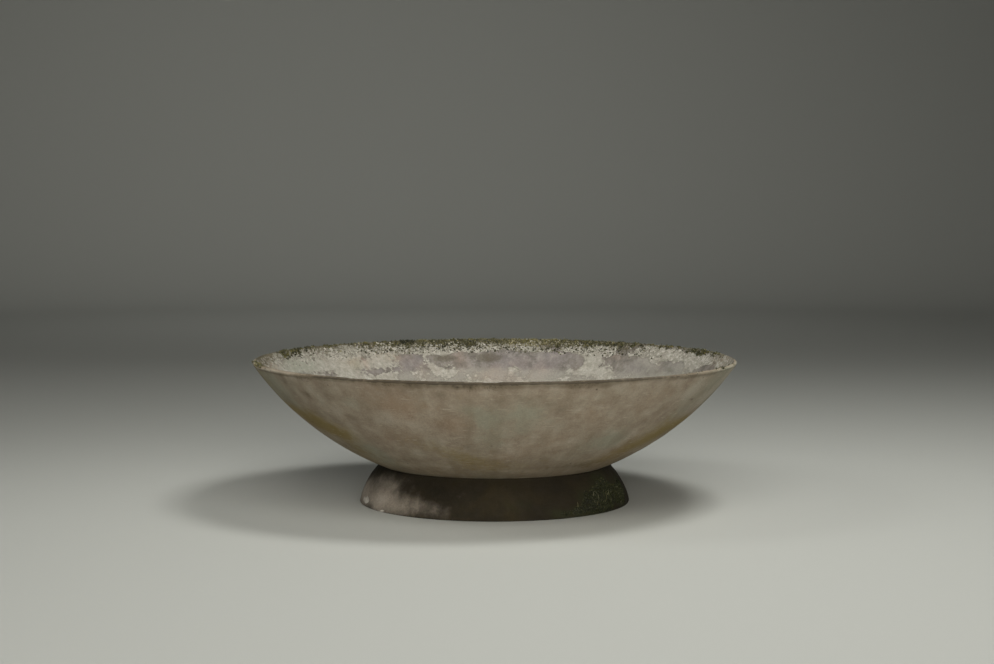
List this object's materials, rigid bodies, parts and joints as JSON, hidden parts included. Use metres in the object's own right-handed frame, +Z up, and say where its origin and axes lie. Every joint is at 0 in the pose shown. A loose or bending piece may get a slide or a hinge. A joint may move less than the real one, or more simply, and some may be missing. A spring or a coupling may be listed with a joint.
{
  "type": "fibre cement planter",
  "caption": "Wide shallow round planter bowl of weathered fibre cement with a thin square-cut rim and a drain hole, resting loosely on a separate low foot ring with swelling sides.",
  "frame": {"origin": "on the floor at the centre of the foot ring's base", "axes": "+Z up along the axis of the bowl and the ring; X and Y level, in any direction, as both are round"},
  "size_m": [1.1976, 1.1976, 0.3545],
  "materials": {
    "bowl_fibre_cement": "matte",
    "ring_fibre_cement": "matte",
    "moss": "matte"
  },
  "bodies": {
    "foot_ring": {"foot_ring": "ring_fibre_cement"},
    "bowl": {"bowl": "bowl_fibre_cement"}
  },
  "joints": [
    {"name": "bowl_lift", "type": "slide", "parent": "foot_ring", "child": "bowl", "axis": [0, 0, 1], "range_m": [0, 0.25]}
  ]
}
